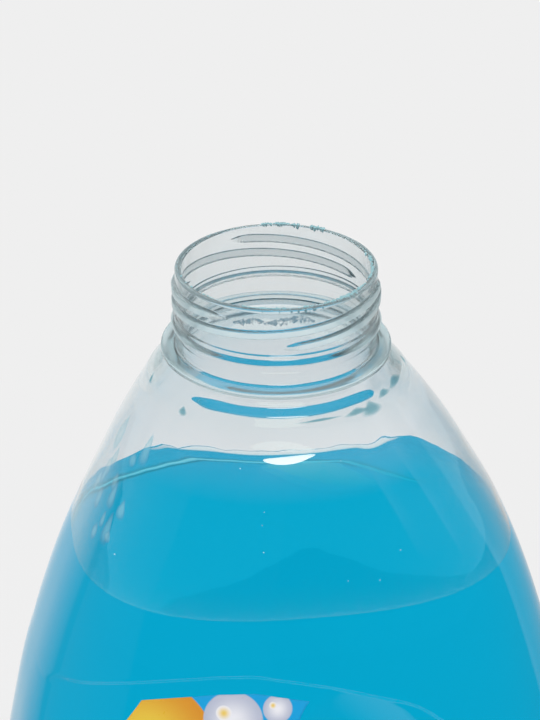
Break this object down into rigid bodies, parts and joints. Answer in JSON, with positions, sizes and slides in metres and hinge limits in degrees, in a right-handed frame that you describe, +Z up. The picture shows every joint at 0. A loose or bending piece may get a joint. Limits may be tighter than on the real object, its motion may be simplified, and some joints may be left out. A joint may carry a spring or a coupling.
{
  "type": "laundry gel bottle",
  "caption": "Clear blown bottle with an open screw neck, sloping shoulders, arched label panels and pinch grips, filled with blue laundry gel to the lower shoulder.",
  "frame": {"origin": "middle of the bottle's base, on the plane it stands on", "axes": "+Z up through the bottle, X across its width with the pinch grips on the +X side, -Y to the front label"},
  "size_m": [0.1544, 0.1234, 0.29],
  "materials": {
    "clear_shell": "clear, glossy, faintly blue",
    "blue_gel": "clear blue gel",
    "label_film": "printed film, satin"
  },
  "bodies": {
    "root": {"bottle": "clear_shell", "gel": "blue_gel", "front_label": "label_film", "back_label": "label_film"}
  },
  "joints": []
}
